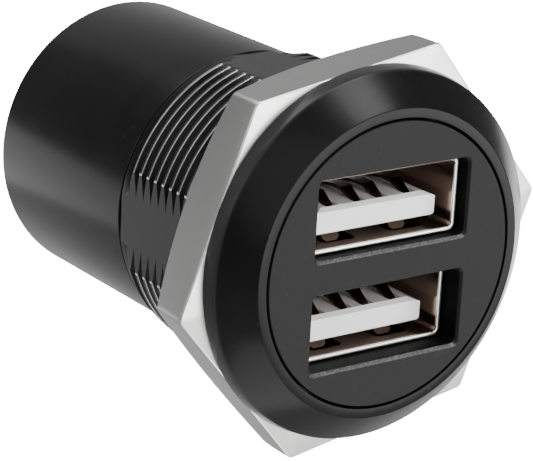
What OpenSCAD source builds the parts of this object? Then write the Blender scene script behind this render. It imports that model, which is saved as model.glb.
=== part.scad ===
// Dual USB panel socket: a threaded metal barrel with a flanged bezel, a
// two-window insert, two charging receptacles, a hex clamp nut and a rear
// sleeve that houses the converter and the supply blades.
// The barrel's axis is Y. The front faces -Y, +Z is up, and the origin is on
// the axis in the flange's rear face, where the panel seats.

/* [Bezel] */
// How far the flange stands out past the thread
flange_overhang = 2.15; // [1.8:0.05:4]
// Thickness of the flange from its front ring to the panel seat
flange_t = 3.1; // [3:0.1:5]
// Height of the rim behind the cone
rim_h = 1.1; // [0.6:0.1:1.6]
// How far the rim leans outwards over its height
rim_lean = 0.2; // [0.05:0.05:0.4]
// Width of the flat ring round the insert
ring_w = 0.68; // [0.4:0.02:1]
// Width of the groove between the ring and the insert
groove_w = 0.28; // [0.1:0.02:0.4]
// Broken edges of the flange
flange_edge = 0.12; // [0.04:0.02:0.2]

/* [Threaded barrel] */
// Wall of the barrel under the thread, which makes the thread M24
barrel_wall = 1.56; // [1.4:0.02:2]
// Distance from one thread crest to the next
thread_pitch = 1; // [0.75:0.05:1.25]
// Length of the barrel from the panel seat to the sleeve
barrel_l = 15.2; // [13:0.1:24]
// Plain collar between the thread and the sleeve
collar_w = 1.1; // [0.6:0.1:2]
// Plain relief between the flange and the first thread
relief_w = 0.8; // [0.5:0.1:1.5]
// Depth of the four flats that stop the barrel turning, from the crests
flat_depth = 0.7; // [0.3:0.05:0.9]
// Length of the spigot inside the sleeve
spigot_l = 4.5; // [3:0.1:6]
// Wall of the spigot
spigot_wall = 0.7; // [0.5:0.05:0.75]

/* [Hex nut] */
// Wall of the nut from the thread's crests to the middle of a flat
nut_wall = 2; // [1.5:0.1:5]
// Thickness of the nut
nut_t = 4.1; // [3:0.1:6]
// Slope of the chamfer on the nut's rear corners
nut_chamfer_angle = 25; // [15:1:35]
// Angle of the first corner above the horizontal
nut_turn = 9.3; // [0:0.1:60]
// Radial play between the nut's thread and the barrel's
thread_play = 0.05; // [0.03:0.01:0.1]

/* [Rear sleeve] */
// Wall of the sleeve
sleeve_wall = 0.75; // [0.6:0.05:2]
// Free length between the capacitors' leads and the blades' feet
spare_l = 1.9; // [0.5:0.1:8]
// Rounding of the sleeve's rear edge
sleeve_round = 0.5; // [0.2:0.05:0.6]
// Broken edges on both sides of the joint between collar and sleeve
joint_edge = 0.15; // [0.05:0.05:0.3]

/* [Insert] */
// Width of the ledge in the body that the insert seats on
seat_w = 0.77; // [0.6:0.01:1.2]
// Thickness of the insert's face
insert_t = 2.6; // [2.4:0.1:2.9]
// Wall of the boss outside the receptacles' corners
boss_wall = 0.46; // [0.3:0.02:1]
// Length of the boss that carries the two receptacles
boss_l = 4; // [2:0.1:7]
// Distance between the centres of the two windows
port_pitch = 8.5; // [8:0.05:8.6]
// Gap beside a receptacle in its window
window_side = 0.33; // [0.22:0.01:0.36]
// Gap above and below a receptacle in its window
window_gap = 0.19; // [0.19:0.01:0.24]
// Corner radius of the windows
window_corner = 0.5; // [0.3:0.05:0.8]
// Bevel on the top and the sides of the windows
window_bevel = 0.14; // [0.05:0.01:0.16]
// Extra height of the windows below a receptacle
window_sill = 0.16; // [0:0.02:0.2]
// Bevel along the bottom of the windows
sill_bevel = 0.24; // [0.1:0.02:0.3]
// Room in the boss for the springs to bend outwards
spring_room = 0.6; // [0.3:0.1:0.8]

/* [Receptacles] */
// Width of the plug opening
opening_w = 12.5; // [12.4:0.05:12.6]
// Height of the plug opening
opening_h = 5.12; // [5.05:0.01:5.2]
// Thickness of the folded sheet
sheet_t = 0.3; // [0.25:0.01:0.35]
// Outer corner radius of the folded shell
shell_corner = 0.8; // [0.5:0.05:1]
// Distance of the upper shell's mouth behind the front
upper_recess = 1.1; // [0.6:0.1:2]
// Distance of the lower shell's mouth behind the front
lower_recess = 1.9; // [0.6:0.1:2]
// Depth of the deeper receptacle from mouth to board
receptacle_l = 14; // [13:0.1:16]
// Width of the spring slots
slot_w = 3; // [2.2:0.1:3.4]
// Length of the spring slots
slot_l = 6; // [5:0.1:6.4]
// Distance of the spring slots behind the mouth
slot_back = 1.1; // [0.8:0.1:1.6]
// Corner radius of the spring slots
slot_corner = 0.5; // [0.2:0.1:0.8]
// Distance of a slot's middle from the middle of the port
slot_x = 3.02; // [2.7:0.02:3.3]
// Width of the spring fingers
finger_w = 1.5; // [1:0.1:1.9]
// How far the spring fingers reach into the opening
finger_reach = 0.5; // [0.2:0.05:0.55]
// Gap between a slot's front end and the tip of its finger
finger_gap = 1; // [0.5:0.1:1.3]
// Length of a finger's tip, which curls back out through the slot
finger_curl = 0.6; // [0.4:0.05:0.8]
// How far a finger's tip stands out of the slot
finger_out = 0; // [0:0.05:0.25]

/* [Tongues] */
// Gap on each side of the tongue
tongue_side = 0.7; // [0.6:0.05:0.8]
// Thickness of the tongue
tongue_t = 1.9; // [1.7:0.02:2]
// Gap under the tongue
tongue_gap = 0.64; // [0.6:0.01:0.75]
// Distance of the tongue's front behind the mouth
tongue_recess = 1.2; // [1:0.05:1.5]
// Depth of the plug space from the mouth to the rear block
plug_depth = 9.6; // [9:0.1:10.5]
// Length of the chamfer on the tongue's top front edge
tongue_chamfer = 0.4; // [0.2:0.05:0.5]
// Height of the chamfer on the tongue's top front edge
tongue_chamfer_h = 0.25; // [0.1:0.05:0.4]
// Width of the bevel along the tongue's upper sides
tongue_bevel_w = 1; // [0.3:0.05:1.1]
// Height of the bevel along the tongue's upper sides
tongue_bevel_h = 0.42; // [0.2:0.02:0.5]

/* [Contacts] */
// Width of a contact
contact_w = 1; // [0.8:0.05:1.2]
// Thickness of a contact
contact_t = 0.25; // [0.2:0.01:0.3]
// Distance from the middle to the inner contacts
contact_inner = 1; // [0.9:0.02:1.1]
// Distance from the inner to the outer contacts
contact_step = 2.5; // [2.3:0.02:2.7]
// Height of a contact's spring bow above its seat
contact_bow = 0.7; // [0.3:0.05:0.75]
// Length over which a contact rises to its bow
contact_rise = 1.8; // [1.2:0.1:2.4]
// Width of a contact's tapered tip
contact_tip_w = 0.4; // [0.3:0.05:0.8]
// Width of a contact's tail
tail_w = 0.6; // [0.4:0.05:0.8]

/* [Electronics] */
// Thickness of both boards
board_t = 1.6; // [1:0.1:2]
// Width of the converter board
converter_w = 17; // [15.5:0.1:18]
// Diameter of the inductor
inductor_d = 7; // [5:0.1:7.4]
// Height of the inductor
inductor_h = 4.5; // [3:0.1:6]
// Diameter of the capacitors
capacitor_d = 6.3; // [5:0.1:6.6]
// Length of the capacitors
capacitor_l = 8; // [5:0.1:8.6]
// Length of the controller chip's body
chip_l = 4.9; // [3.9:0.1:6]
// Width of the controller chip's body
chip_w = 3.9; // [3:0.1:4.4]
// Length of the rectifier
rectifier_l = 2.6; // [2:0.1:2.8]

/* [Rear cap] */
// Thickness of the cap
cap_t = 3.5; // [2.6:0.1:4]
// Distance of the cap's face inside the sleeve's rear end
cap_inset = 0.5; // [0:0.1:1]
// Depth of the slot that holds the converter board
cap_slot = 1; // [0.5:0.1:1.6]

/* [Supply blades] */
// Width of the blades
blade_w = 6.3; // [4.8:0.1:6.4]
// Thickness of the blades
blade_t = 0.8; // [0.5:0.05:1]
// Length of the blades outside the cap
blade_l = 7.8; // [6:0.1:10]
// Distance of each blade's middle from the converter board's middle
blade_z = 3.4; // [2.6:0.1:4.4]
// Diameter of the hole in the blades
blade_hole = 1.8; // [1.2:0.1:2.4]

/* [Clearances] */
// Slip fit between pieces that slide together
slip = 0.05; // [0.02:0.01:0.08]
// Play round the insert's boss and the round board in the bore
bore_play = 0.1; // [0.05:0.01:0.15]

/* [Hidden] */

// Facets of a full circle
round_fn = 96;
// Facets of small rounds
small_fn = 32;
// Overlap of shapes that merge into one piece
merge = 0.5;
// Overlap of cutters past the faces that they cut
cut = 1;

// Outside of the receptacles and how far their corners reach from the axis
shell_w = opening_w + 2 * sheet_t;
shell_h = opening_h + 2 * sheet_t;
inner_corner = max(shell_corner - sheet_t, 0.1);
corner_x = shell_w / 2 - shell_corner;
corner_z = (port_pitch + shell_h) / 2 - shell_corner;
reach_r = sqrt(corner_x * corner_x + corner_z * corner_z) + shell_corner;

// Radii of the turned pieces, from the receptacles outwards
front_y = -flange_t;
boss_r = reach_r + boss_wall;
bore_r = boss_r + bore_play;
insert_r = bore_r + seat_w;
counterbore_r = insert_r + groove_w;
ring_r = counterbore_r + ring_w;
spigot_r = bore_r + spigot_wall;
sleeve_bore_r = spigot_r + slip;
sleeve_r = sleeve_bore_r + sleeve_wall;

// Metric thread form
thread_depth = 0.5413 * thread_pitch;
root_r = bore_r + barrel_wall;
crest_r = root_r + thread_depth;
flange_r = crest_r + flange_overhang;
flats_af = 2 * (crest_r - flat_depth);
nut_af = 2 * (crest_r + nut_wall);
crest_flat = thread_pitch / 8;
root_flat = thread_pitch / 4;
flank = (thread_pitch - crest_flat - root_flat) / 2;
thread_turns = floor((barrel_l - collar_w - relief_w) / thread_pitch);
thread_end = relief_w + thread_turns * thread_pitch;
barrel_end = barrel_l + spigot_l;

// The two ports, each with its height and the place of its mouth
UPPER = [port_pitch / 2, front_y + upper_recess];
LOWER = [-port_pitch / 2, front_y + lower_recess];
tongue_w = opening_w - 2 * tongue_side;
tongue_bottom = tongue_gap - opening_h / 2;
contact_sink = 0.1;
contact_seat_depth = contact_t + contact_sink;
contact_z = tongue_bottom + tongue_t - contact_seat_depth;
CONTACT_X = [
  -contact_inner - contact_step, -contact_inner,
  contact_inner, contact_inner + contact_step
];

// Boards
board_y = front_y + max(upper_recess, lower_recess) + receptacle_l;
board_back = board_y + board_t;
board_r = bore_r - bore_play;
tail_out = 0.6;
tab_h = 1.6;
parts_y = board_back + 1;
lead_reach = 1;
parts_end = parts_y + capacitor_l + lead_reach;

// Inductor on the converter board
winding_inset = 0.3;
inductor_x = inductor_d / 2 + winding_inset;
inductor_y = parts_y + inductor_d / 2;
inductor_flange = 0.8;
inductor_waist_r = inductor_d / 4;
winding_r = inductor_d / 2 - winding_inset;

// Rear cap and blades
foot_l = 3;
cap_front = parts_end + spare_l + foot_l;
cap_back = cap_front + cap_t;
cap_r = sleeve_bore_r - slip;
sleeve_end = cap_back + cap_inset;
converter_end = cap_front + cap_slot;
blade_tip = cap_back + blade_l;
blade_taper = 1.2;

// Solid between two places on the axis, from an outline in X and Z
module along_y(y0, y1) {
  translate([0, y1, 0]) rotate([90, 0, 0]) linear_extrude(y1 - y0) children();
}

// Solid across X, from an outline in Y and Z
module across_x(x0, x1) {
  translate([x0, 0, 0]) rotate([90, 0, 90]) linear_extrude(x1 - x0) children();
}

// Turned solid about the axis, from an outline in radius and Y
module turned(points) {
  rotate([-90, 0, 0]) rotate_extrude($fn = round_fn) polygon(points);
}

// Rectangle with round corners, centred
module round_rect(w, h, r) {
  square([w - 2 * r, h], center = true);
  square([w, h - 2 * r], center = true);
  for (x = [-1, 1], y = [-1, 1]) {
    translate([x * (w / 2 - r), y * (h / 2 - r)]) circle(r, $fn = small_fn);
  }
}

// Points of a thread's flanks, grown outwards by play
function thread_points(start, turns, play) = [
  for (i = [0 : turns - 1]) each [
    [root_r + play, start + i * thread_pitch + root_flat / 2],
    [crest_r + play, start + i * thread_pitch + root_flat / 2 + flank],
    [crest_r + play, start + (i + 1) * thread_pitch - root_flat / 2 - flank],
    [root_r + play, start + (i + 1) * thread_pitch - root_flat / 2]
  ]
];

// Points of a quarter round from angle a0, with the Y axis as 90 degrees
function arc_points(r, y, radius, a0, a1, steps) = [
  for (i = [0 : steps]) [
    r + radius * cos(a0 + (a1 - a0) * i / steps),
    y + radius * sin(a0 + (a1 - a0) * i / steps)
  ]
];

// Flange with its front ring, cone and rim
module flange_form() {
  turned([
    [0, front_y],
    [ring_r - flange_edge, front_y],
    [ring_r + flange_edge, front_y + flange_edge / 2],
    [flange_r - rim_lean - flange_edge, -rim_h - flange_edge],
    [flange_r - rim_lean, -rim_h],
    [flange_r, -flange_edge],
    [flange_r - flange_edge, 0],
    [0, 0]
  ]);
}

// Threaded barrel with its relief and collar, cut by the four flats
module barrel_form() {
  intersection() {
    turned(concat(
      [[0, -merge], [root_r, -merge], [root_r, relief_w]],
      thread_points(relief_w, thread_turns, 0),
      [[root_r, thread_end], [root_r, barrel_l - joint_edge],
       [root_r - joint_edge, barrel_l], [0, barrel_l]]
    ));
    translate([-flats_af / 2, -cut, -flats_af / 2]) cube([flats_af, barrel_l + 2 * cut, flats_af]);
  }
}

// Body: bezel flange, barrel and spigot turned from one bar
module body() color("#1c1c1d") difference() {
  union() {
    flange_form();
    barrel_form();
    turned([[0, barrel_l - merge], [spigot_r, barrel_l - merge], [spigot_r, barrel_end], [0, barrel_end]]);
  }
  turned([
    [0, front_y - cut], [counterbore_r, front_y - cut], [counterbore_r, front_y + insert_t],
    [bore_r, front_y + insert_t], [bore_r, barrel_end + cut], [0, barrel_end + cut]
  ]);
}

// Throat of a window, lower at the bottom than the receptacle in it
module window_throat() {
  h = shell_h + 2 * window_gap - window_bevel + window_sill - sill_bevel;
  translate([0, shell_h / 2 + window_gap - window_bevel - h / 2])
    round_rect(shell_w + 2 * (window_side - window_bevel), h, window_corner);
}

// Front outline of a window
module window_rim() {
  translate([0, -window_sill / 2])
    round_rect(shell_w + 2 * window_side, shell_h + 2 * window_gap + window_sill, window_corner);
}

// Window through the insert's face, with a bevelled front edge
module window_cut(port) translate([0, 0, port[0]]) {
  along_y(front_y - cut, front_y + insert_t + slip) window_throat();
  hull() {
    along_y(front_y - slip, front_y) window_rim();
    along_y(front_y, front_y + sill_bevel) window_throat();
  }
}

// Insert: face disc with two windows and a boss that grips both shells
module faceplate() color("#3a3a3b") difference() {
  turned([
    [0, front_y], [insert_r - flange_edge, front_y], [insert_r, front_y + flange_edge],
    [insert_r, front_y + insert_t], [boss_r, front_y + insert_t],
    [boss_r, front_y + insert_t + boss_l], [0, front_y + insert_t + boss_l]
  ]);
  for (port = [UPPER, LOWER]) {
    window_cut(port);
    translate([0, 0, port[0]]) along_y(front_y + insert_t - slip, front_y + insert_t + boss_l + cut) {
      round_rect(shell_w + 2 * slip, shell_h + 2 * slip, shell_corner + slip);
      for (x = [-slot_x, slot_x]) {
        translate([x, 0]) square([slot_w, shell_h + 2 * spring_room], center = true);
      }
    }
  }
}

// Hex nut, threaded to the barrel's own form and chamfered at the rear
module hex_nut() color("#c9c9c6") {
  corner_r = nut_af / 2 / cos(30);
  outer_r = corner_r + cut;
  drop = (outer_r - nut_af / 2) * tan(nut_chamfer_angle);
  sink_r = crest_r + 3 * thread_play;
  sink = sink_r - root_r - thread_play;
  turns = ceil((nut_t - relief_w) / thread_pitch) + 2;
  difference() {
    intersection() {
      along_y(0, nut_t) rotate(nut_turn) circle(corner_r, $fn = 6);
      turned([[0, -cut], [outer_r, -cut], [outer_r, nut_t - drop], [nut_af / 2, nut_t], [0, nut_t]]);
    }
    turned(concat(
      [[0, relief_w - 2 * thread_pitch]],
      thread_points(relief_w - 2 * thread_pitch, turns + 2, thread_play),
      [[0, relief_w + turns * thread_pitch]]
    ));
    turned([[0, -cut], [sink_r + cut, -cut], [sink_r - sink, sink], [0, sink]]);
    turned([
      [0, nut_t - sink], [sink_r - sink, nut_t - sink],
      [sink_r + cut, nut_t + cut], [0, nut_t + cut]
    ]);
  }
}

// Sleeve behind the barrel, pushed over the spigot up to the collar
module rear_sleeve() color("#161617") turned(concat(
  [[sleeve_bore_r, barrel_l], [sleeve_r - joint_edge, barrel_l], [sleeve_r, barrel_l + joint_edge]],
  arc_points(sleeve_r - sleeve_round, sleeve_end - sleeve_round, sleeve_round, 0, 90, 8),
  [[sleeve_bore_r, sleeve_end]]
));

// Cap that closes the sleeve and carries the blades and the board's end
module rear_cap() color("#202022") difference() {
  turned([
    [0, cap_front], [cap_r, cap_front], [cap_r, cap_back - joint_edge],
    [cap_r - joint_edge, cap_back], [0, cap_back]
  ]);
  translate([0, cap_front - cut, 0])
    translate([-converter_w / 2 - slip, 0, -board_t / 2 - slip])
      cube([converter_w + 2 * slip, cap_slot + cut, board_t + 2 * slip]);
  for (side = [-1, 1]) {
    translate([-blade_w / 2 - slip, cap_front - cut, side * blade_z - blade_t / 2 - slip])
      cube([blade_w + 2 * slip, cap_t + 2 * cut, blade_t + 2 * slip]);
  }
}

// Leaf spring in a slot: rises from its root to a crown and curls out at the tip
module spring_finger() {
  root = slot_back + slot_l + merge;
  bend = slot_back + slot_l - sheet_t;
  tip = slot_back + finger_gap;
  crown = tip + finger_curl;
  half_w = finger_w / 2;
  corner = finger_w / 5;
  intersection() {
    across_x(-half_w, half_w) polygon([
      [root, 0], [bend, 0], [crown + sheet_t / 2, finger_reach], [tip + sheet_t, -finger_out],
      [tip, -finger_out], [crown, finger_reach + sheet_t], [bend, sheet_t], [root, sheet_t]
    ]);
    translate([0, 0, -cut]) linear_extrude(finger_reach + sheet_t + 2 * cut) polygon([
      [-half_w, root + cut], [-half_w, tip + corner / 2], [corner - half_w, tip],
      [half_w - corner, tip], [half_w, tip + corner / 2], [half_w, root + cut]
    ]);
  }
}

// Folded metal shell with two sprung slots above and two below
module shell(port) color("#b9b6b0") {
  mouth = port[1];
  translate([0, 0, port[0]]) {
    difference() {
      along_y(mouth, board_y) round_rect(shell_w, shell_h, shell_corner);
      along_y(mouth - cut, board_y + cut) round_rect(opening_w, opening_h, inner_corner);
      for (x = [-slot_x, slot_x]) {
        translate([x, mouth + slot_back + slot_l / 2, -shell_h / 2 - cut])
          linear_extrude(shell_h + 2 * cut) round_rect(slot_w, slot_l, slot_corner);
      }
    }
    for (x = [-slot_x, slot_x]) {
      translate([x, mouth, -shell_h / 2]) spring_finger();
      translate([x, mouth, shell_h / 2]) rotate([0, 180, 0]) spring_finger();
    }
    for (side = [-1, 1]) {
      translate([side * (shell_w - sheet_t) / 2 - sheet_t / 2, board_y - merge, -tab_h / 2])
        cube([sheet_t, merge + board_t + tail_out, tab_h]);
    }
  }
}

// Outline of the tongue across its width, bevelled along its sides
module tongue_section() {
  half_w = tongue_w / 2;
  top = tongue_bottom + tongue_t;
  low_bevel = tongue_bevel_h / 2;
  polygon([
    [low_bevel - half_w, tongue_bottom], [half_w - low_bevel, tongue_bottom],
    [half_w, tongue_bottom + low_bevel], [half_w, top - tongue_bevel_h],
    [half_w - tongue_bevel_w, top], [tongue_bevel_w - half_w, top],
    [-half_w, top - tongue_bevel_h], [-half_w, tongue_bottom + low_bevel]
  ]);
}

// White insulator: chamfered tongue and rear block with four contact seats
module insulator(port) color("#e9e9e6") {
  front = port[1] + tongue_recess;
  block = port[1] + plug_depth;
  top = tongue_bottom + tongue_t;
  low_chamfer = tongue_chamfer / 4;
  seat_front = front + tongue_chamfer;
  translate([0, 0, port[0]]) difference() {
    union() {
      intersection() {
        along_y(front, block + merge) tongue_section();
        across_x(-tongue_w, tongue_w) polygon([
          [front, tongue_bottom + low_chamfer], [front + low_chamfer, tongue_bottom],
          [block + merge, tongue_bottom], [block + merge, top],
          [front + tongue_chamfer, top], [front, top - tongue_chamfer_h]
        ]);
      }
      along_y(block, board_y)
        round_rect(opening_w - 2 * slip, opening_h - 2 * slip, inner_corner);
    }
    for (x = CONTACT_X) {
      seat_w = contact_w + 2 * slip;
      translate([x - seat_w / 2, seat_front, contact_z])
        cube([seat_w, block - seat_front, contact_seat_depth + cut]);
      translate([x - seat_w / 2, block - slip, contact_z])
        cube([seat_w, board_y - block + cut, contact_t + slip]);
    }
  }
}

// Contact: bowed strip in the tongue's seat, straight through the block to its tail
module contact(port, x) color("#c8a04a") {
  start = port[1] + tongue_recess + tongue_chamfer + slip;
  flat = port[1] + plug_depth - 2 * contact_t;
  bend = start + contact_t;
  rise = start + contact_rise;
  fall = rise + contact_w;
  translate([x, 0, port[0] + contact_z]) {
    intersection() {
      across_x(-contact_w / 2, contact_w / 2) polygon([
        [start, 0], [bend, 0], [rise, contact_bow], [fall, contact_bow], [flat, 0], [board_y, 0],
        [board_y, contact_t], [flat, contact_t], [fall, contact_bow + contact_t],
        [rise, contact_bow + contact_t], [bend, contact_t], [start, contact_t]
      ]);
      translate([0, 0, -cut]) linear_extrude(contact_bow + contact_t + 2 * cut) polygon([
        [-contact_tip_w / 2, start - cut], [contact_tip_w / 2, start - cut], [contact_tip_w / 2, start],
        [contact_w / 2, rise], [contact_w / 2, board_y + cut], [-contact_w / 2, board_y + cut],
        [-contact_w / 2, rise], [-contact_tip_w / 2, start]
      ]);
    }
    translate([-tail_w / 2, board_y - merge, 0]) cube([tail_w, merge + board_t + tail_out, contact_t]);
  }
}

// Round board that both receptacles are soldered to
module port_board() color("#2f5a3a") difference() {
  turned([[0, board_y], [board_r, board_y], [board_r, board_back], [0, board_back]]);
  for (port = [UPPER, LOWER]) {
    for (x = CONTACT_X) {
      translate([x - tail_w / 2 - slip, board_y - cut, port[0] + contact_z - slip])
        cube([tail_w + 2 * slip, board_t + 2 * cut, contact_t + 2 * slip]);
    }
    for (side = [-1, 1]) {
      x = side * (shell_w - sheet_t) / 2;
      translate([x - sheet_t / 2 - slip, board_y - cut, port[0] - tab_h / 2 - slip])
        cube([sheet_t + 2 * slip, board_t + 2 * cut, tab_h + 2 * slip]);
    }
  }
}

// Converter board, from the round board into the cap's slot
module converter_board() color("#2f5a3a")
  translate([-converter_w / 2, board_back, -board_t / 2])
    cube([converter_w, converter_end - board_back, board_t]);

// Ferrite drum with a flange at each end
module inductor_core() color("#3b3b3f")
  translate([inductor_x, inductor_y, board_t / 2]) rotate_extrude($fn = round_fn) polygon([
    [0, 0], [inductor_d / 2, 0], [inductor_d / 2, inductor_flange],
    [inductor_waist_r, inductor_flange],
    [inductor_waist_r, inductor_h - inductor_flange],
    [inductor_d / 2, inductor_h - inductor_flange], [inductor_d / 2, inductor_h], [0, inductor_h]
  ]);

// Copper winding between the drum's flanges
module inductor_winding() color("#a8622e")
  translate([inductor_x, inductor_y, board_t / 2]) rotate_extrude($fn = round_fn) polygon([
    [inductor_waist_r, inductor_flange],
    [winding_r, inductor_flange],
    [winding_r, inductor_h - inductor_flange],
    [inductor_waist_r, inductor_h - inductor_flange]
  ]);

// Capacitor lying on the board, with a crimped can and two bent leads
module capacitor() color("#3a4048") {
  r = capacitor_d / 2;
  lead = 0.5;
  lead_x = 1.25;
  side_gap = 0.8;
  crimp = 0.3;
  crimp_y = capacitor_l - 1.5;
  translate([-r - side_gap, parts_y, r]) {
    turned([
      [0, 0], [r - crimp, 0], [r, crimp], [r, crimp_y - crimp], [r - crimp, crimp_y],
      [r, crimp_y + crimp], [r, capacitor_l - crimp], [r - crimp, capacitor_l], [0, capacitor_l]
    ]);
    for (x = [-lead_x, lead_x]) {
      translate([x - lead / 2, capacitor_l - merge, -lead / 2]) cube([lead, merge + lead_reach, lead]);
      translate([x - lead / 2, capacitor_l + lead_reach - lead, -r]) cube([lead, lead, r + lead / 2]);
    }
  }
}

module output_capacitor() translate([0, 0, board_t / 2]) capacitor();

module input_capacitor() translate([0, 0, -board_t / 2]) mirror([0, 0, 1]) capacitor();

// Controller chip under the board, with four bent legs on each side
module controller_chip() color("#26262a") {
  stand = 0.15;
  body_t = 1.4;
  leg_w = 0.42;
  leg_out = 1;
  leg_t = 0.2;
  leg_bend = 0.3;
  root = 0.1;
  side_gap = 1.5;
  front_gap = 1;
  translate([chip_w / 2 + side_gap, parts_y + chip_l / 2 + front_gap, -board_t / 2]) mirror([0, 0, 1]) {
    translate([-chip_w / 2, -chip_l / 2, stand]) cube([chip_w, chip_l, body_t]);
    for (side = [0, 1], i = [-1.5 : 1.5]) mirror([side, 0, 0]) {
      translate([chip_w / 2, i * chip_l / 4 - leg_w / 2, 0]) {
        translate([-root, 0, body_t / 2]) cube([root + leg_bend + leg_t, leg_w, leg_t]);
        translate([leg_bend, 0, 0]) cube([leg_t, leg_w, body_t / 2 + leg_t]);
        translate([leg_bend, 0, 0]) cube([leg_out - leg_bend, leg_w, leg_t]);
      }
    }
  }
}

// Rectifier: moulded block with a folded tab at each end
module rectifier() color("#26262a") {
  w = 2.2;
  h = 2;
  tab = 0.2;
  tab_w = 1.4;
  foot = 0.8;
  x0 = blade_w / 2 + 1;
  y0 = parts_y + inductor_d + foot;
  translate([x0 + w / 2, y0 + rectifier_l / 2, board_t / 2]) {
    translate([-w / 2, -rectifier_l / 2, tab]) cube([w, rectifier_l, h]);
    for (side = [0, 1]) mirror([0, side, 0]) {
      translate([-tab_w / 2, rectifier_l / 2, 0]) cube([tab_w, tab, h / 2]);
      translate([-tab_w / 2, rectifier_l / 2 - foot, 0]) cube([tab_w, foot + tab, tab]);
    }
  }
}

// Supply blade: tapered outside the cap, folded down to the board inside
module supply_blade() color("#c4b27a") {
  top = blade_z + blade_t / 2;
  low = blade_z - blade_t / 2;
  difference() {
    intersection() {
      across_x(-blade_w / 2, blade_w / 2) polygon([
        [cap_front - foot_l, board_t / 2], [cap_front, board_t / 2], [cap_front, low], [blade_tip, low],
        [blade_tip, top], [cap_front - blade_t, top], [cap_front - blade_t, board_t / 2 + blade_t],
        [cap_front - foot_l, board_t / 2 + blade_t]
      ]);
      linear_extrude(top + cut) polygon([
        [-blade_w / 2, cap_front - foot_l], [blade_w / 2, cap_front - foot_l],
        [blade_w / 2, blade_tip - blade_taper], [blade_w / 2 - blade_taper, blade_tip],
        [blade_taper - blade_w / 2, blade_tip], [-blade_w / 2, blade_tip - blade_taper]
      ]);
    }
    translate([0, cap_back + blade_l / 2, low - cut])
      cylinder(h = blade_t + 2 * cut, d = blade_hole, $fn = small_fn);
  }
}

module positive_blade() supply_blade();

module negative_blade() mirror([0, 0, 1]) supply_blade();

body();
faceplate();
hex_nut();
rear_sleeve();
rear_cap();
shell(UPPER);  // upper_shell
shell(LOWER);  // lower_shell
insulator(UPPER);  // upper_insulator
insulator(LOWER);  // lower_insulator
contact(UPPER, CONTACT_X[0]);  // upper_contact_1
contact(UPPER, CONTACT_X[1]);  // upper_contact_2
contact(UPPER, CONTACT_X[2]);  // upper_contact_3
contact(UPPER, CONTACT_X[3]);  // upper_contact_4
contact(LOWER, CONTACT_X[0]);  // lower_contact_1
contact(LOWER, CONTACT_X[1]);  // lower_contact_2
contact(LOWER, CONTACT_X[2]);  // lower_contact_3
contact(LOWER, CONTACT_X[3]);  // lower_contact_4
port_board();
converter_board();
inductor_core();
inductor_winding();
output_capacitor();
input_capacitor();
controller_chip();
rectifier();
positive_blade();
negative_blade();
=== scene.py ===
"""Dual USB panel socket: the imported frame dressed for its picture."""
import math

import bmesh
import bpy
import numpy as np
from mathutils import Matrix, Vector


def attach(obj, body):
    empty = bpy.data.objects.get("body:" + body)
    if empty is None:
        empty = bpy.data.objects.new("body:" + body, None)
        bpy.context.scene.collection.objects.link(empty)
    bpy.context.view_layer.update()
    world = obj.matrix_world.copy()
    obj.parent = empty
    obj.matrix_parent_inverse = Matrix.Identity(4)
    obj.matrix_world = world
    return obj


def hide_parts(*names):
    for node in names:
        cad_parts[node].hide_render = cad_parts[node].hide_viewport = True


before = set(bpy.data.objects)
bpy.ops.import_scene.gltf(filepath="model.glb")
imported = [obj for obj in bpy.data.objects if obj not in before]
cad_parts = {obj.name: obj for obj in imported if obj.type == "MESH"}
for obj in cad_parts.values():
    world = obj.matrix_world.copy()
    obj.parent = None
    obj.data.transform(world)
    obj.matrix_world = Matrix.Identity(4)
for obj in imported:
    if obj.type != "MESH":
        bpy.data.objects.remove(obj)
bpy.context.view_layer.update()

# Sizes in millimetres, as in the part's source, but the gap round the insert, the joint between
# collar and sleeve and the corners of the lips are drawn finer
MM = 0.001
TAU = 2 * math.pi
FRONT = -3.1
RIM_H, RIM_LEAN, FLANGE_R = 1.1, 0.2, 14.15
INSERT_R, COUNTER_R, RING_R, INSERT_T = 10.7, 10.91, 11.627, 2.6
BORE_R, SPIGOT_R, BARREL_END = 9.897, 10.597, 19.7
ROOT_R, CREST_R, PITCH, RELIEF, BARREL_L = 11.457, 11.998, 1.0, 0.8, 15.2
THREAD_FROM, THREAD_TO, FADE_FROM, FADE_TO = RELIEF - 0.3, BARREL_L - 0.75, 0.5, 0.8
FLATS_R, COLLAR_L = 11.298, 0.6
COUNTER_ROUND, RING_ROUND, RIM_ROUND, HEEL_ROUND, END_ROUND = 0.03, 0.16, 0.12, 0.1, 0.08
NUT_T, NUT_R, NUT_TURN, NUT_SLOPE = 4.1, 13.998, 9.3, 25.0
NUT_CORNER, NUT_EDGE, NUT_LEAD, THREAD_ROOM = 0.6, 0.14, 0.4, 0.05
CHAMFER_IN, CHAMFER_OUT, FACE_IN = 0.12, 0.25, 0.6
SLEEVE_BORE_R, SLEEVE_R, SLEEVE_END, SLEEVE_ROUND = 10.647, 11.397, 33.3, 0.5
JOINT_GAP = 0.2
SHELL_W, SHELL_H, SHELL_CORNER, LIP_CORNER, SHEET_T = 13.1, 5.72, 0.8, 0.55, 0.3
UPPER_MOUTH, LOWER_MOUTH = -2.0, -1.2
PORT_Z, BOSS_R, BOSS_L, SEAT_ROOM, SEAT_SIDE = 4.25, 9.797, 4.0, 0.2, 0.05
WINDOW_CORNER, BEVEL, SILL_BEVEL, INSERT_EDGE = 0.5, 0.14, 0.24, 0.04
RIM_HALF_W, RIM_HIGH, RIM_LOW = 6.88, 3.05, 3.21
SILL_LOW, SILL_ROOM = 3.1, 0.13
LIP_FRONT, LIP_BACK, LIP_ROUND, LIP_PROUD = 0.05, 0.12, 0.1, 0.01
FLOOR_Z, FLOOR_R = -60.0, 1500
FAR, NONE = 1e9, 1e-9


# Meshes

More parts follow.
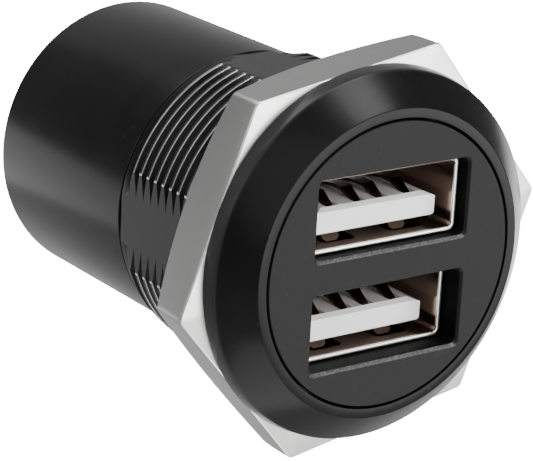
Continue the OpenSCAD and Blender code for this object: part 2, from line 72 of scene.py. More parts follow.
def weld(name, sheets, material, sharp=32.0):
    """One closed mesh from grids of points in millimetres.

    Each grid is a sheet of quads, and points that meet are merged.
    """
    points, quads, start = [], [], 0
    for sheet in sheets:
        rows, columns = sheet.shape[:2]
        index = start + np.arange(rows * columns).reshape(rows, columns)
        corners = [index[:-1, :-1], index[:-1, 1:], index[1:, 1:], index[1:, :-1]]
        quads.append(np.stack(corners, axis=-1).reshape(-1, 4))
        points.append(sheet.reshape(-1, 3))
        start += rows * columns
    mesh = bpy.data.meshes.new(name)
    mesh.from_pydata(np.concatenate(points) * MM, [], np.concatenate(quads).tolist())
    work = bmesh.new()
    work.from_mesh(mesh)
    bmesh.ops.remove_doubles(work, verts=work.verts, dist=2e-7)
    bmesh.ops.recalc_face_normals(work, faces=work.faces)
    work.to_mesh(mesh)
    work.free()
    mesh.polygons.foreach_set("use_smooth", np.ones(len(mesh.polygons), dtype=bool))
    mesh.set_sharp_from_angle(angle=math.radians(sharp))
    piece = bpy.data.objects.new(name, mesh)
    bpy.context.scene.collection.objects.link(piece)
    mesh.materials.append(material)
    return piece


def face_vectors(piece, key):
    """One vector for every face, such as its normal or its centre."""
    values = np.zeros(3 * len(piece.data.polygons))
    piece.data.polygons.foreach_get(key, values)
    return values.reshape(-1, 3)


def finish_faces(piece, which):
    """Gives every face the finish with its number."""
    piece.data.polygons.foreach_set("material_index", which.astype(np.int32))


def rounded(points, steps=4):
    """Outline of (radius, y, rounding) corners, each replaced by an arc that touches both its sides.

    The arc's middle lies on the corner's half-way line, at the rounding over the sine of half the
    corner's angle, and its points blend the two directions in which it touches.
    """
    corners = [np.array(p[:2], dtype=float) for p in points]
    out = []
    for i, here in enumerate(corners):
        size = points[i][2]
        if size == 0:
            out.append(here)
            continue
        before = corners[i - 1] - here
        after = corners[(i + 1) % len(corners)] - here
        before /= np.linalg.norm(before)
        after /= np.linalg.norm(after)
        half = math.acos(np.clip(before @ after, -1, 1)) / 2
        middle = here + (before + after) / np.linalg.norm(before + after) * size / math.sin(half)
        first = here + before * size / math.tan(half) - middle
        last = here + after * size / math.tan(half) - middle
        span = math.pi - 2 * half
        for t in np.linspace(0, 1, steps + 1):
            arc = first * math.sin((1 - t) * span) + last * math.sin(t * span)
            out.append(middle + arc / math.sin(span))
    return np.array(out)


def turned(radius, y, angles):
    """Points at (radius cos a, y, radius sin a), with radius and y by rows and one angle per column."""
    radius, y = np.broadcast_arrays(radius, y)
    return np.stack([radius * np.cos(angles), y, radius * np.sin(angles)], axis=-1)


def ring_rows(outline, columns):
    """Radius and y of an outline, each repeated for every column."""
    return np.repeat(outline[:, :1], columns, axis=1), np.repeat(outline[:, 1:2], columns, axis=1)


# Height of the thread's tooth, as a share of the full one, at phases of a turn
THREAD_PHASES = np.array([0.0, 0.34, 0.37, 0.39, 0.415, 0.585, 0.61, 0.63, 0.66])
THREAD_HEIGHTS = np.array([0.0, 0.88, 0.95, 0.98, 1.0, 1.0, 0.98, 0.95, 0.88])


def thread_rows(angles, low, high, play, fade_low, fade_high, limit=FAR):
    """Helical thread as rows of radius and y, cut to low..high.

    Row k sits at y = pitch (k + angle / turn), and its radius is the root plus the tooth's height
    there, faded to the root at both ends. Where a flat at the radius limit cuts the flank at a share
    of its height, the flank's upper end slides down it to that share, and the crest's rows spread.
    """
    turns = np.arange(math.floor(low / PITCH) - 2, math.ceil(high / PITCH) + 2)
    flank, top = THREAD_PHASES[1], THREAD_HEIGHTS[1]
    share = np.clip((limit - ROOT_R) / (CREST_R - ROOT_R) / top, 0, 1) + 0 * angles
    away = np.minimum(THREAD_PHASES, 1 - THREAD_PHASES)[:, None]
    slid = np.where(away <= flank, away * share, 0.5 - (0.5 - away) * (0.5 - flank * share) / (0.5 - flank))
    phases = np.where(THREAD_PHASES[:, None] <= 0.5, slid, 1 - slid)
    phase = (turns[:, None, None] + phases[None, :, :]).reshape(-1, len(angles))
    height = np.tile(THREAD_HEIGHTS, len(turns)).reshape(-1, 1)
    y = RELIEF + PITCH * (phase + angles[None, :] / TAU)
    inside = (y > low).any(axis=1) & (y < high).any(axis=1)
    y, height = y[inside], height[inside]
    clipped = np.clip(y, low, high)
    fade = np.clip((clipped - low) / fade_low, 0, 1) * np.clip((high - clipped) / fade_high, 0, 1)
    return ROOT_R + play + (CREST_R - ROOT_R) * height * fade, clipped


def body_angles():
    """Angles of the body's columns, closest together where the thread runs out at the four flats.

    They are steps from a flat's middle to the next diagonal, mirrored there and repeated four times.
    """
    near, clear = 8.5, 20.5
    parts = [np.linspace(0, near, 6)[:-1], np.linspace(near, clear, 39)[:-1], np.linspace(clear, 45, 15)]
    half = np.concatenate(parts)
    quarter = np.concatenate([half, 90 - half[::-1][1:-1]])
    return np.radians(np.concatenate([quarter + 90 * i for i in range(4)] + [[360.0]]))


def make_body(material):
    """Body: a closed outline turned about the axis, with a helical thread between relief and collar.

    Four flats at distance f cut it as radius = min(radius, f / max(|cos a|, |sin a|)).
    """
    angles = body_angles()
    n = len(angles)
    front = rounded([
        (BORE_R, BARREL_END, 0), (BORE_R, FRONT + INSERT_T, 0), (COUNTER_R, FRONT + INSERT_T, 0),
        (COUNTER_R, FRONT, COUNTER_ROUND), (RING_R, FRONT, RING_ROUND),
        (FLANGE_R - RIM_LEAN, -RIM_H, RIM_ROUND), (FLANGE_R, 0, HEEL_ROUND), (ROOT_R, 0, 0),
    ])
    first_r, first_y = ring_rows(front, n)
    limit = FLATS_R / np.maximum(np.abs(np.cos(angles)), np.abs(np.sin(angles)))
    thread_r, thread_y = thread_rows(angles, THREAD_FROM, THREAD_TO, 0.0, FADE_FROM, FADE_TO, limit)
    rear = rounded([
        (ROOT_R, BARREL_L - COLLAR_L, 0), (ROOT_R, BARREL_L, END_ROUND), (SPIGOT_R, BARREL_L, 0),
        (SPIGOT_R, BARREL_END, 0), (BORE_R, BARREL_END, 0),
    ])
    last_r, last_y = ring_rows(rear, n)
    radius = np.concatenate([first_r, np.full((1, n), ROOT_R), thread_r, last_r])
    y = np.concatenate([first_y, np.full((1, n), 0.0), thread_y, last_y])
    inner, outer = SPIGOT_R + 0.3, CREST_R + 0.01
    threaded = (y >= 0) & (y <= BARREL_L) & (radius > inner) & (radius < outer)
    radius = np.where(threaded, np.minimum(radius, limit), radius)
    piece = weld("threaded_body", [turned(radius, y, angles)], material, sharp=28)
    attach(piece, "root")
    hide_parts("body")


def hexagon(angles, flat_r, corner):
    """Radius of a hexagon with round corners: flat distance / cos inside a side, an arc near a corner."""
    turn = (angles - math.radians(NUT_TURN) + math.pi / 6) % (math.pi / 3) - math.pi / 6
    side = np.abs(np.abs(turn) - math.pi / 6)
    straight = flat_r / np.cos(side)
    centre = (flat_r - corner) / math.cos(math.pi / 6)
    toward = np.abs(turn)
    inner = np.maximum(corner ** 2 - (centre * np.sin(toward)) ** 2, 0)
    arc = centre * np.cos(toward) + np.sqrt(inner)
    touch = math.pi / 6 - math.atan(centre * math.sin(math.pi / 6) / flat_r)
    return np.where(toward < touch, arc, straight)


def make_nut(front, side):
    """Hex nut: from the front face over the sides and the sloping chamfer, and back through the thread.

    The chamfer's y falls with the radius times the tangent of its slope. Faces that stand upright on
    the panel get a darker copy of the nickel, painted shade for the sides.
    """
    offsets = np.concatenate([np.linspace(0, 3, 8)[:-1], np.linspace(3, 30, 12)])
    sector = np.concatenate([offsets, 60 - offsets[::-1][1:-1]])
    corners = [(NUT_TURN + sector + 60 * i) % 360 for i in range(6)]
    angles = np.radians(np.sort(np.concatenate(corners + [[0.0, 360.0]])))
    outer = hexagon(angles, NUT_R, NUT_CORNER)
    level = 0 * outer
    slope = math.tan(math.radians(NUT_SLOPE))
    start = NUT_T - (outer - NUT_R) * slope
    edge, lean, short = NUT_EDGE, 0.05, 0.1
    rows = [(outer - edge, level)]
    for t in np.linspace(0, math.pi / 2, 5)[1:]:
        rows.append((outer - edge + edge * math.sin(t), edge - edge * math.cos(t) + level))
    for t in np.linspace(0, 1, 5):
        rows.append((outer - lean * t ** 4, edge + (start - short - edge) * t))
    for t in np.linspace(0, 1, 8):
        r = (outer - CHAMFER_IN) + (NUT_R - CHAMFER_OUT - outer + CHAMFER_IN) * t
        rows.append((r, NUT_T - (r - NUT_R + CHAMFER_OUT) * slope))
    wide = level + CREST_R + THREAD_ROOM
    last = NUT_T - NUT_LEAD
    rear = level + NUT_T
    rows += [(level + NUT_R - FACE_IN, rear), (wide + NUT_LEAD, rear), (wide, level + last)]
    inner_r, inner_y = thread_rows(angles, NUT_LEAD, last, THREAD_ROOM, NONE, NONE)
    bore = [(inner_r[i], inner_y[i]) for i in range(len(inner_r) - 1, -1, -1)]
    rows += [(np.where((y <= NUT_LEAD) | (y >= last), wide, r), y) for r, y in bore]
    rows += [(wide, level + NUT_LEAD), (wide + NUT_LEAD, level), rows[0]]
    radius = np.array([r for r, _ in rows])
    y = np.array([v for _, v in rows])
    piece = weld("clamp_nut", [turned(radius, y, angles)], front, sharp=24)
    piece.data.materials.append(side)
    # Upright faces take the darker nickel: painted shade.
    upright = np.abs(face_vectors(piece, "normal")[:, 1]) < 0.3
    finish_faces(piece, upright)
    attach(piece, "root")
    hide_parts("hex_nut")


def make_sleeve(material):
    """Rear sleeve: a tube's outline, rounded at the joint and at the rear edge, turned about the axis."""
    angles = np.linspace(0, TAU, 257)
    start = BARREL_L + JOINT_GAP
    outline = rounded([
        (SLEEVE_BORE_R, start, 0), (SLEEVE_R, start, END_ROUND), (SLEEVE_R, SLEEVE_END, SLEEVE_ROUND),
        (SLEEVE_BORE_R, SLEEVE_END, 0), (SLEEVE_BORE_R, start, 0),
    ], steps=8)
    r, y = ring_rows(outline, len(angles))
    piece = weld("smooth_sleeve", [turned(r, y, angles)], material)
    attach(piece, "root")
    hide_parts("rear_sleeve")


def window_radius(angles, half_w, low, high, corner):
    """Distance from a window's middle to a round-cornered rectangle, one value per direction.

    Its bottom lies at low and its top at high from that middle.
    """
    c, s = np.abs(np.cos(angles)) + 1e-12, np.abs(np.sin(angles)) + 1e-12
    half_h = np.where(np.sin(angles) > 0, high, low)
    straight = np.minimum(half_w / c, half_h / s)
    cx, cy = half_w - corner, half_h - corner
    along = cx * c + cy * s
    arc = along + np.sqrt(np.maximum(along ** 2 - cx ** 2 - cy ** 2 + corner ** 2, 0))
    in_corner = (straight * c > cx) & (straight * s > cy)
    return np.where(in_corner, arc, straight)


def window_directions(*outer_radii):
    """Directions from a window's middle, once round: its corners, the half discs' corners, even steps."""
    corner = math.atan2(RIM_HIGH - WINDOW_CORNER / 2, RIM_HALF_W - WINDOW_CORNER / 2)
    spread = 0.13
    near = corner + np.linspace(-spread, spread, 27)
    chords = np.array([math.atan2(PORT_Z, r) for r in outer_radii])
    bound = [near, math.pi - near, TAU - near, math.pi + near, TAU - chords, math.pi + chords]
    start = -math.pi / 2
    every = np.concatenate(bound + [np.linspace(0, TAU, 161)[:-1]])
    every = np.unique(np.round((every - start) % TAU + start, 9))
    return np.append(every, every[0] + TAU)


def half_disc(angles, outer_r):
    """Distance from a window's middle to its half disc: the arc above, and the chord at z = 0 below."""
    c, s = np.cos(angles), np.sin(angles)
    arc = -PORT_Z * s + np.sqrt(outer_r ** 2 - (PORT_Z * c) ** 2)
    chord = np.where(s < 0, PORT_Z / np.maximum(-s, 1e-9), FAR)
    return np.minimum(arc, chord)


def window_outline(angles, side, inset):
    """Window outline at a share of its bevel: inset 0 is the front rim and 1 the throat.

    The deeper bevel is at the bottom, which is away from the axis in the lower window.
    """
    high, low = RIM_HIGH - BEVEL * inset, RIM_LOW - SILL_BEVEL * inset
    if side < 0:
        low, high = high, low
    return window_radius(angles, RIM_HALF_W - BEVEL * inset, low, high, WINDOW_CORNER)


def make_insert(face, wall, sill):
    """Insert with its two windows and the boss behind it.

    Rays from each window's middle carry rows from the rear face through the seat and the bevelled
    window to the front face. A turned rim joins the arcs: its angles are those at which the rays end
    on the disc, held between 0 and half a turn. Faces inside the windows get a darker charcoal that
    paints their shade, and the bevels under the sockets a lighter, grained one as painted highlight.
    """
    edge, back = INSERT_EDGE, FRONT + INSERT_T
    rear = back + BOSS_L
    front_r = INSERT_R - edge
    a = window_directions(front_r, BOSS_R)
    seat_h = SHELL_H / 2 + SEAT_ROOM
    seat = window_radius(a, SHELL_W / 2 + SEAT_SIDE, seat_h, seat_h, SHELL_CORNER)
    front_edge, rear_edge = half_disc(a, front_r), half_disc(a, BOSS_R)
    lip = rounded([(1, 0.8, 0), (1, SILL_BEVEL, 0.08), (0, 0, 0.05), (-0.5, 0, 0)], steps=3)
    ends = np.abs(a - math.pi / 2) <= math.pi / 2 + math.atan2(PORT_Z, BOSS_R) + 1e-9
    sheets = []
    for side in (1, -1):
        throat = window_outline(a, side, 1)
        rows = [(rear_edge, rear), (seat, rear), (seat, back), (throat, back)]
        rows += [(window_outline(a, side, inset), FRONT + depth) for inset, depth in lip]
        last = rows[-1][0]
        for t in (0.1, 0.4, 0.7, 0.95, 1.0):
            rows.append((last + (front_edge - last) * t, FRONT))
        radius = np.array([r for r, _ in rows])
        y = np.array([[v] for _, v in rows]) + 0 * radius
        z = side * (PORT_Z + radius * np.sin(a))
        sheets.append(np.stack([radius * np.cos(a), y, z], axis=-1))
        b = a[ends]
        disc = []
        for e in (front_edge[ends], rear_edge[ends]):
            turn = np.unwrap(np.arctan2(PORT_Z + e * np.sin(b), e * np.cos(b)))
            disc.append(np.clip(turn, 0, math.pi))
        rim = [(front_r, FRONT, disc[0])]
        for t in np.linspace(0, math.pi / 2, 5)[1:]:
            rim.append((front_r + edge * math.sin(t), FRONT + edge * (1 - math.cos(t)), disc[0]))
        rim += [(INSERT_R, back, disc[0]), (BOSS_R, back, disc[1]), (BOSS_R, rear, disc[1])]
        rows = [np.stack([r * np.cos(d), v + 0 * d, side * r * np.sin(d)], axis=-1) for r, v, d in rim]
        sheets.append(np.stack(rows))
    piece = weld("port_insert", sheets, face)
    piece.data.materials.append(wall)
    piece.data.materials.append(sill)
    x, y, z = face_vectors(piece, "center").T / MM
    across = np.abs(x) < RIM_HALF_W
    inside = across & (np.abs(np.abs(z) - PORT_Z) < RIM_LOW) & (y > FRONT + SILL_BEVEL)
    sill_z = np.sign(z) * PORT_Z - SILL_LOW
    behind = FRONT + 0.002
    below = across & (np.abs(z - sill_z) < SILL_ROOM) & (y > behind)
    # Index 1 is the darker window charcoal, painted shade; index 2 is the sill's lighter charcoal, painted
    # highlight.
    finish_faces(piece, np.where(inside, 1, np.where(below, 2, 0)))
    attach(piece, "root")
    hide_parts("faceplate")


def make_lip(name, middle, mouth, material):
    """Rolled edge on a shell's mouth: a rounded section as thick as the sheet, carried round the shell."""
    a = window_directions(INSERT_R, BOSS_R)
    half = SHEET_T / 2 + LIP_PROUD
    front, back = mouth - LIP_FRONT, mouth + LIP_BACK
    section = rounded([
        (half, back, 0), (half, front, LIP_ROUND), (-half, front, LIP_ROUND), (-half, back, 0),
        (half, back, 0),
    ])
    rows = []
    for out, y in section:
        grow = out - SHEET_T / 2
        half_h = SHELL_H / 2 + grow
        r = window_radius(a, SHELL_W / 2 + grow, half_h, half_h, LIP_CORNER + grow)
        rows.append(np.stack([r * np.cos(a), y + 0 * a, middle + r * np.sin(a)], axis=-1))
    piece = weld(name, [np.stack(rows)], material)
    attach(piece, "root")


# Shader groups

def new_group(name, inputs, outputs):
    """Empty node group with float inputs given as (name, default) and outputs by name."""
    tree = bpy.data.node_groups.new(name, "ShaderNodeTree")
    for label, value in inputs:
        socket = tree.interface.new_socket(label, in_out="INPUT", socket_type="NodeSocketFloat")
        socket.default_value = value
    for label in outputs:
        tree.interface.new_socket(label, in_out="OUTPUT", socket_type="NodeSocketFloat")
    return tree, tree.nodes.new("NodeGroupInput"), tree.nodes.new("NodeGroupOutput")


def node(tree, kind, links=(), **settings):
    """New node with its settings, and links given as (input, source socket) or (input, value)."""
    made = tree.nodes.new(kind)
    for key, value in settings.items():
        setattr(made, key, value)
    for key, source in links:
        if isinstance(source, bpy.types.NodeSocket):
            tree.links.new(source, made.inputs[key])
        else:
            made.inputs[key].default_value = source
    return made


def remap(tree, value, low, high, out_low, out_high):
    """Value carried from low..high to out_low..out_high, held at the ends."""
    links = [(0, value), (1, low), (2, high), (3, out_low), (4, out_high)]
    return node(tree, "ShaderNodeMapRange", links).outputs[0]


def multiply(tree, first, second):
    """Product of two values."""
    return node(tree, "ShaderNodeMath", [(0, first), (1, second)], operation="MULTIPLY").outputs[0]


def blend(tree, amount, first, second):
    """Colour that goes from first to second with the amount."""
    links = [(0, amount), (6, first), (7, second)]
    return node(tree, "ShaderNodeMix", links, data_type="RGBA").outputs[2]


def group(tree, made, output):
    """Output of a node group placed in a tree."""
    return node(tree, "ShaderNodeGroup", node_tree=made).outputs[output]


def about_axis(tree):
    """Distance from the object's axis, and place along it."""
    place = node(tree, "ShaderNodeTexCoord").outputs["Object"]
    split = node(tree, "ShaderNodeSeparateXYZ", [(0, place)])
    flat = node(tree, "ShaderNodeCombineXYZ", [(0, split.outputs["X"]), (1, split.outputs["Z"])])
    far = node(tree, "ShaderNodeVectorMath", [(0, flat.outputs[0])], operation="LENGTH")
    return far.outputs["Value"], split.outputs["Y"]


def noise(tree, place, scale, detail, roughness=0.5):
    """Noise value at a place."""
    links = [("Vector", place), ("Scale", scale), ("Detail", detail), ("Roughness", roughness)]
    return node(tree, "ShaderNodeTexNoise", links).outputs[0]


def grain_group():
    """Fine grain and slow smudges.

    Height is the grain, Roughness goes from Smooth to Rough with both, Tone is the smudges alone.
    """
    inputs = [("Scale", 9000.0), ("Smooth", 0.3), ("Rough", 0.4)]
    tree, given, result = new_group("fine_grain", inputs, ["Height", "Roughness", "Tone"])
    place = node(tree, "ShaderNodeTexCoord").outputs["Object"]
    fine = noise(tree, place, given.outputs["Scale"], 3.0)
    slow = noise(tree, place, 260.0, 5.0, 0.6)
    most, rest = multiply(tree, slow, 0.75), multiply(tree, fine, 0.25)
    both = node(tree, "ShaderNodeMath", [(0, most), (1, rest)], operation="ADD").outputs[0]
    rough = remap(tree, both, 0.3, 0.7, given.outputs["Smooth"], given.outputs["Rough"])
    tree.links.new(fine, result.inputs["Height"])
    tree.links.new(rough, result.inputs["Roughness"])
    tree.links.new(remap(tree, slow, 0.35, 0.65, 0.0, 1.0), result.inputs["Tone"])
    return tree


def lathe_group():
    """Turning marks: noise read at (distance from the axis, place along it), so its lines run round it."""
    tree, given, result = new_group("turning_marks", [("Scale", 5000.0)], ["Height"])
    far, along = about_axis(tree)
    line = node(tree, "ShaderNodeCombineXYZ", [(0, far), (1, along)])
    marks = noise(tree, line.outputs[0], given.outputs["Scale"], 2.0)
    tree.links.new(marks, result.inputs["Height"])
    return tree


def crest_highlight_group():
    """Painted highlight on the thread crests' rounded edges, and a fainter painted sheen on the flange's
    rim.

    The mask rises from Start to Full with the distance from the axis and falls again up to End,
    behind the flange alone. A fainter one lies on the flange's rim, and the greater of both counts.
    """
    low, full, end = (CREST_R - 0.075) * MM, (CREST_R - 0.05) * MM, (CREST_R - 0.001) * MM
    inputs = [("Start", low), ("Full", full), ("End", end)]
    tree, given, result = new_group("painted_crest_highlight", inputs, ["Mask"])
    far, along = about_axis(tree)
    rise = remap(tree, far, given.outputs["Start"], given.outputs["Full"], 0.0, 1.0)
    fall = remap(tree, far, given.outputs["Full"], given.outputs["End"], 1.0, 0.02)
    behind = remap(tree, along, 0.3 * MM, 0.5 * MM, 0.0, 1.0)
    crest = multiply(tree, multiply(tree, rise, fall), behind)
    rim = remap(tree, far, (FLANGE_R - 0.35) * MM, (FLANGE_R - 0.15) * MM, 0.0, 0.045)
    mask = node(tree, "ShaderNodeMath", [(0, crest), (1, rim)], operation="MAXIMUM").outputs[0]
    tree.links.new(mask, result.inputs["Mask"])
    return tree


def dust_group():
    """Sparse specks: a fine noise held to its highest peaks."""
    tree, given, result = new_group("dust_specks", [("Scale", 1500.0), ("Least", 0.7)], ["Mask"])
    place = node(tree, "ShaderNodeTexCoord").outputs["Object"]
    fine = noise(tree, place, given.outputs["Scale"], 1.0)
    over = node(tree, "ShaderNodeMath", [(0, fine), (1, given.outputs["Least"])], operation="SUBTRACT")
    links = [(0, over.outputs[0]), (1, 14.0)]
    held = node(tree, "ShaderNodeMath", links, operation="MULTIPLY", use_clamp=True)
    tree.links.new(held.outputs[0], result.inputs["Mask"])
    return tree


# The third group masks a painted highlight on crest edges and rim. Of the colours below, the first paints
# glints on the sill's grain peaks, the second is real dust, and the third is the painted highlight.
GRAIN, LATHE, CREST_HIGHLIGHT, DUST = grain_group(), lathe_group(), crest_highlight_group(), dust_group()
GLINT_COLOUR, DUST_COLOUR, HIGHLIGHT_COLOUR = (0.5, 0.49, 0.51, 1), (0.5, 0.49, 0.47, 1), (0.6, 0.6, 0.6, 1)
COAT_ROUGHNESS = 0.12


def surface(name, colour, worn, metal, smooth, rough, scale=9000.0, grain=0.02, lathe=0.0, dust=0.0,
            coat=0.0, specular=0.5, highlight=0.0, grain_glint=0.0):
    """Material whose colour goes from colour to worn with the smudges.

    Its roughness goes from smooth to rough, grain and turning marks are its bump, in millimetres, and
    dust specks lie over it. The highlight amount paints pale metal on the thread crests' edges and the
    flange's rim, a painted highlight, and the glint amount sets how light the grain's peaks are, painted
    glints on real grain.
    """
    material = bpy.data.materials.new(name)
    material.use_nodes = True
    tree = material.node_tree
    shader = tree.nodes["Principled BSDF"]
    shader.inputs["Metallic"].default_value = metal
    shader.inputs["Specular IOR Level"].default_value = specular
    shader.inputs["Coat Weight"].default_value = coat
    shader.inputs["Coat Roughness"].default_value = COAT_ROUGHNESS
    fine = node(tree, "ShaderNodeGroup", node_tree=GRAIN)
    for key, value in (("Scale", scale), ("Smooth", smooth), ("Rough", rough)):
        fine.inputs[key].default_value = value
    tone = blend(tree, fine.outputs["Tone"], (*colour, 1), (*worn, 1))
    # Painted glints: the grain's peaks are lightened towards pale grey as if catching light; the grain
    # itself is real.
    if grain_glint:
        amount = remap(tree, fine.outputs["Height"], 0.45, 0.6, 0.0, grain_glint)
        tone = blend(tree, amount, tone, GLINT_COLOUR)
    if dust:
        amount = multiply(tree, group(tree, DUST, "Mask"), dust)
        tone = blend(tree, amount, tone, DUST_COLOUR)
    # Painted highlight: pale metal on the thread crests' edges and the flange's rim, standing in for the
    # light they catch; it also turns them metallic.
    if highlight:
        amount = multiply(tree, group(tree, CREST_HIGHLIGHT, "Mask"), highlight)
        tone = blend(tree, amount, tone, HIGHLIGHT_COLOUR)
        tree.links.new(amount, shader.inputs["Metallic"])
    tree.links.new(tone, shader.inputs["Base Color"])
    tree.links.new(fine.outputs["Roughness"], shader.inputs["Roughness"])
    bump = [("Height", fine.outputs["Height"]), ("Strength", 1.0), ("Distance", grain * MM)]
    normal = node(tree, "ShaderNodeBump", bump).outputs[0]
    if lathe:
        marks = group(tree, LATHE, "Height")
        bump = [("Height", marks), ("Strength", 1.0), ("Distance", lathe * MM), ("Normal", normal)]
        normal = node(tree, "ShaderNodeBump", bump).outputs[0]
    tree.links.new(normal, shader.inputs["Normal"])
    return material


def grey(value):
    """Neutral colour of one value."""
    return (value, value, value)


# The body's highlight amount paints light crest edges and a sheen on the rim: painted highlight.
BODY_BLACK = surface(
    "anodised_black", grey(0.004), grey(0.005), 0.0, 0.2, 0.26,
    grain=0.002, lathe=0.001, dust=0.01, specular=0.1, highlight=0.85)
SLEEVE_BLACK = surface(
    "sleeve_black", grey(0.004), grey(0.005), 0.0, 0.22, 0.28,
    grain=0.002, lathe=0.001, dust=0.01, specular=0.16)
INSERT_GREY = surface(
    "moulded_charcoal", grey(0.01), grey(0.012), 0.0, 0.5, 0.6,
    scale=7000.0, grain=0.01, dust=0.01, specular=0.12)
# Darker copy of the insert's charcoal for the window walls and floors: painted shade.
WINDOW_SHADE = surface(
    "window_wall_painted_shade", grey(0.004), grey(0.005), 0.0, 0.4, 0.5, scale=7000.0, grain=0.01, specular=0.02)
# Lighter copy of the insert's charcoal for the bevels under the sockets, with light grain peaks: painted
# highlight on real grain.
SILL_LIT_GREY = surface(
    "sill_grain_painted_highlight", grey(0.02), grey(0.035), 0.0, 0.34, 0.46,
    scale=6000.0, grain=0.03, specular=0.4, grain_glint=0.11)
NUT_SATIN = surface(
    "satin_nickel", (0.64, 0.64, 0.63), (0.6, 0.6, 0.59), 1.0, 0.3, 0.36, scale=5000.0, grain=0.004)
# Darker copy of the nut's nickel for its upright sides: painted shade.
NUT_SIDE_SHADE = surface(
    "nickel_side_painted_shade", (0.32, 0.32, 0.317), (0.3, 0.3, 0.297), 1.0, 0.38, 0.44, scale=5000.0, grain=0.004)
SHELL_NICKEL = surface(
    "folded_nickel", (0.34, 0.25, 0.2), (0.29, 0.21, 0.17), 1.0, 0.16, 0.26, grain=0.002)
# Near-white copy of the shell's nickel on the rolled lips: painted highlight along the shells' front edges.
LIP_HIGHLIGHT_NICKEL = surface(
    "lip_painted_highlight", (0.95, 0.94, 0.91), (0.92, 0.9, 0.87), 1.0, 0.3, 0.36, grain=0.001)
TONGUE_WHITE = surface(
    "tongue_white", (0.96, 0.96, 0.95), (0.93, 0.93, 0.92), 0.0, 0.4, 0.5, grain=0.005)
# Gold darkened to near black for the contacts deep in the sockets: painted shade.
CONTACT_GOLD_SHADE = surface(
    "contact_gold", (0.07, 0.042, 0.026), (0.05, 0.03, 0.018), 1.0, 0.28, 0.4, grain=0.003)
CAP_BLACK = surface(
    "cap_black", (0.02, 0.02, 0.021), (0.03, 0.03, 0.031), 0.0, 0.45, 0.55, grain=0.02, dust=0.06)
BLADE_TIN = surface(
    "tinned_blade", (0.66, 0.64, 0.58), (0.55, 0.52, 0.45), 1.0, 0.25, 0.38, grain=0.004)
BOARD_GREEN = surface(
    "solder_mask", (0.01, 0.09, 0.035), (0.015, 0.13, 0.05), 0.0, 0.3, 0.4,
    scale=3000.0, grain=0.01, coat=0.2)
FERRITE = surface(
    "ferrite", (0.05, 0.05, 0.055), (0.08, 0.08, 0.085), 0.2, 0.5, 0.7, scale=3000.0, grain=0.02)
COPPER = surface(
    "copper_wire", (0.55, 0.2, 0.07), (0.45, 0.15, 0.05), 1.0, 0.25, 0.4, grain=0.01)
CAN = surface(
    "capacitor_sleeve", (0.02, 0.04, 0.09), (0.03, 0.05, 0.12), 0.0, 0.3, 0.4, grain=0.006, coat=0.2)
CHIP = surface(
    "chip_epoxy", (0.02, 0.02, 0.021), (0.03, 0.03, 0.03), 0.0, 0.5, 0.6, grain=0.015)

# Finishes of the nodes that keep their own meshes
CARRIED = {
    "rear_cap": CAP_BLACK, "positive_blade": BLADE_TIN, "negative_blade": BLADE_TIN,
    "port_board": BOARD_GREEN, "converter_board": BOARD_GREEN, "controller_chip": CHIP,
    "rectifier": CHIP, "inductor_core": FERRITE, "inductor_winding": COPPER,
    "output_capacitor": CAN, "input_capacitor": CAN,
}
for port in ("upper", "lower"):
    CARRIED[f"{port}_shell"] = SHELL_NICKEL
    CARRIED[f"{port}_insulator"] = TONGUE_WHITE
    for number in range(1, 5):
        CARRIED[f"{port}_contact_{number}"] = CONTACT_GOLD_SHADE


def dress_nodes():
    """CAD nodes that keep their own meshes get their finishes."""
    for name, material in CARRIED.items():
        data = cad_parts[name].data
        data.materials.clear()
        data.materials.append(material)


# Camera, light and floor

# Camera fitted to the photo: degrees round, up and rolled, its aim and distance in millimetres, and
# its focal length and the photo's width in pixels
CAMERA_TURN, CAMERA_RISE, CAMERA_ROLL = -36.225, 18.545, -2.970
CAMERA_AIM, CAMERA_AWAY = (-11.192, FRONT, 4.365), 166.54
FOCAL, PHOTO_W, SENSOR = 2434.466, 533, 36.0

# Strength that the view shows as white, and the surroundings' own strength
WHITE, DIM = 20.0, 0.32

# Lights: name, degrees round and up, distance and size in millimetres, and radiance
LIGHTS = [
    ("panel_front", 26, -12, 170, 175, 7.5),
    ("key_above", 34, 54, 220, 75, 16.0),
    ("overhead", 0, 86, 200, 80, 9.0),
    ("panel_left", -22, 26, 170, 130, 1.6),
    ("panel_right", 122, -15, 150, 95, 3.2),
    ("panel_rear", 155, 18, 190, 200, 0.3),
    ("panel_left_rear", -150, -24, 160, 130, 2.0),
    ("thread_strip", -100, 25, 150, 60, 6.0),
    ("rim_light", -152, 62, 180, 90, 7.0),
    ("fill_below", -30, -60, 55, 36, 3.5),
]

def place_camera():
    """Camera 36.2 degrees round, 18.5 up and 166.5 mm from a point on the flange's front."""
    azimuth, height, roll = np.radians([CAMERA_TURN, CAMERA_RISE, CAMERA_ROLL])
    level = math.cos(height)
    back = Vector((math.sin(azimuth) * level, -math.cos(azimuth) * level, math.sin(height)))
    across = (-back).cross(Vector((0, 0, 1))).normalized()
    down = (-back).cross(across)
    right = across * math.cos(roll) + down * math.sin(roll)
    below = down * math.cos(roll) - across * math.sin(roll)
    place = Vector(CAMERA_AIM) * MM + back * CAMERA_AWAY * MM
    camera = bpy.data.objects.new("camera", bpy.data.cameras.new("camera"))
    camera.data.sensor_width = SENSOR
    camera.data.lens = FOCAL * SENSOR / PHOTO_W
    camera.data.clip_start = 0.01
    camera.matrix_world = Matrix((
        (right.x, -below.x, back.x, place.x), (right.y, -below.y, back.y, place.y),
        (right.z, -below.z, back.z, place.z), (0, 0, 0, 1)))
    bpy.context.scene.collection.objects.link(camera)
    bpy.context.scene.camera = camera


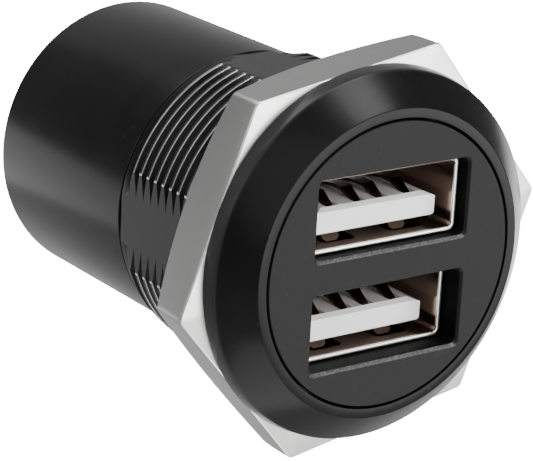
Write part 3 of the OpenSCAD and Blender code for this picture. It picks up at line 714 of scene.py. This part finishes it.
def soft_box(name, azimuth, height, distance, size, radiance):
    """Square area light seen from the socket at azimuth (0 in front, 90 on the right) and height.

    Its power is radiance times pi times its area.
    """
    turn, rise = math.radians(azimuth), math.radians(height)
    toward = Vector((math.sin(turn) * math.cos(rise), -math.cos(turn) * math.cos(rise), math.sin(rise)))
    data = bpy.data.lights.new(name, "AREA")
    data.size = size * MM
    data.energy = radiance * math.pi * (size * MM) ** 2
    lamp = bpy.data.objects.new(name, data)
    lamp.location = toward * distance * MM
    lamp.rotation_euler = toward.to_track_quat("Z", "Y").to_euler()
    lamp.visible_camera = False
    bpy.context.scene.collection.objects.link(lamp)


def white_for_view(tree, dim):
    """Strength that is white where the camera looks at it and dim where it lights or mirrors."""
    path = node(tree, "ShaderNodeLightPath")
    return remap(tree, path.outputs["Is Camera Ray"], 0.0, 1.0, dim, WHITE)


def light_room():
    """Dim even surroundings that look white, a broad panel at the front right, key lights above and
    overhead, a strip on the left for the thread's crests, a light behind for the flange's rim, a
    small light under the front and weaker panels for the dark sides.
    """
    world = bpy.data.worlds.new("white_room")
    world.use_nodes = True
    tree = world.node_tree
    ground = tree.nodes["Background"]
    ground.inputs["Color"].default_value = (1, 1, 1, 1)
    tree.links.new(white_for_view(tree, DIM), ground.inputs["Strength"])
    bpy.context.scene.world = world
    for light in LIGHTS:
        soft_box(*light)


def lay_floor():
    """Pale round floor under the socket, far larger than the view and white where the camera looks."""
    angles = np.linspace(0, TAU, 65)
    radius = np.linspace(0, FLOOR_R, 4)[:, None]
    level = 0 * radius * angles + FLOOR_Z
    sheet = np.stack([radius * np.cos(angles), radius * np.sin(angles), level], axis=-1)
    pale = surface("pale_floor", grey(0.6), grey(0.58), 0.0, 0.8, 0.9, scale=300.0, grain=0.01)
    tree = pale.node_tree
    shader = tree.nodes["Principled BSDF"]
    shader.inputs["Emission Color"].default_value = (1, 1, 1, 1)
    tree.links.new(white_for_view(tree, 0.05), shader.inputs["Emission Strength"])
    floor = weld("floor", [sheet], pale)


place_camera()
make_body(BODY_BLACK)
make_nut(NUT_SATIN, NUT_SIDE_SHADE)
make_sleeve(SLEEVE_BLACK)
make_insert(INSERT_GREY, WINDOW_SHADE, SILL_LIT_GREY)
# The lips' near-white nickel paints the highlight on the shells' front edges.
make_lip("upper_lip", PORT_Z, UPPER_MOUTH, LIP_HIGHLIGHT_NICKEL)
make_lip("lower_lip", -PORT_Z, LOWER_MOUTH, LIP_HIGHLIGHT_NICKEL)
dress_nodes()
light_room()
lay_floor()
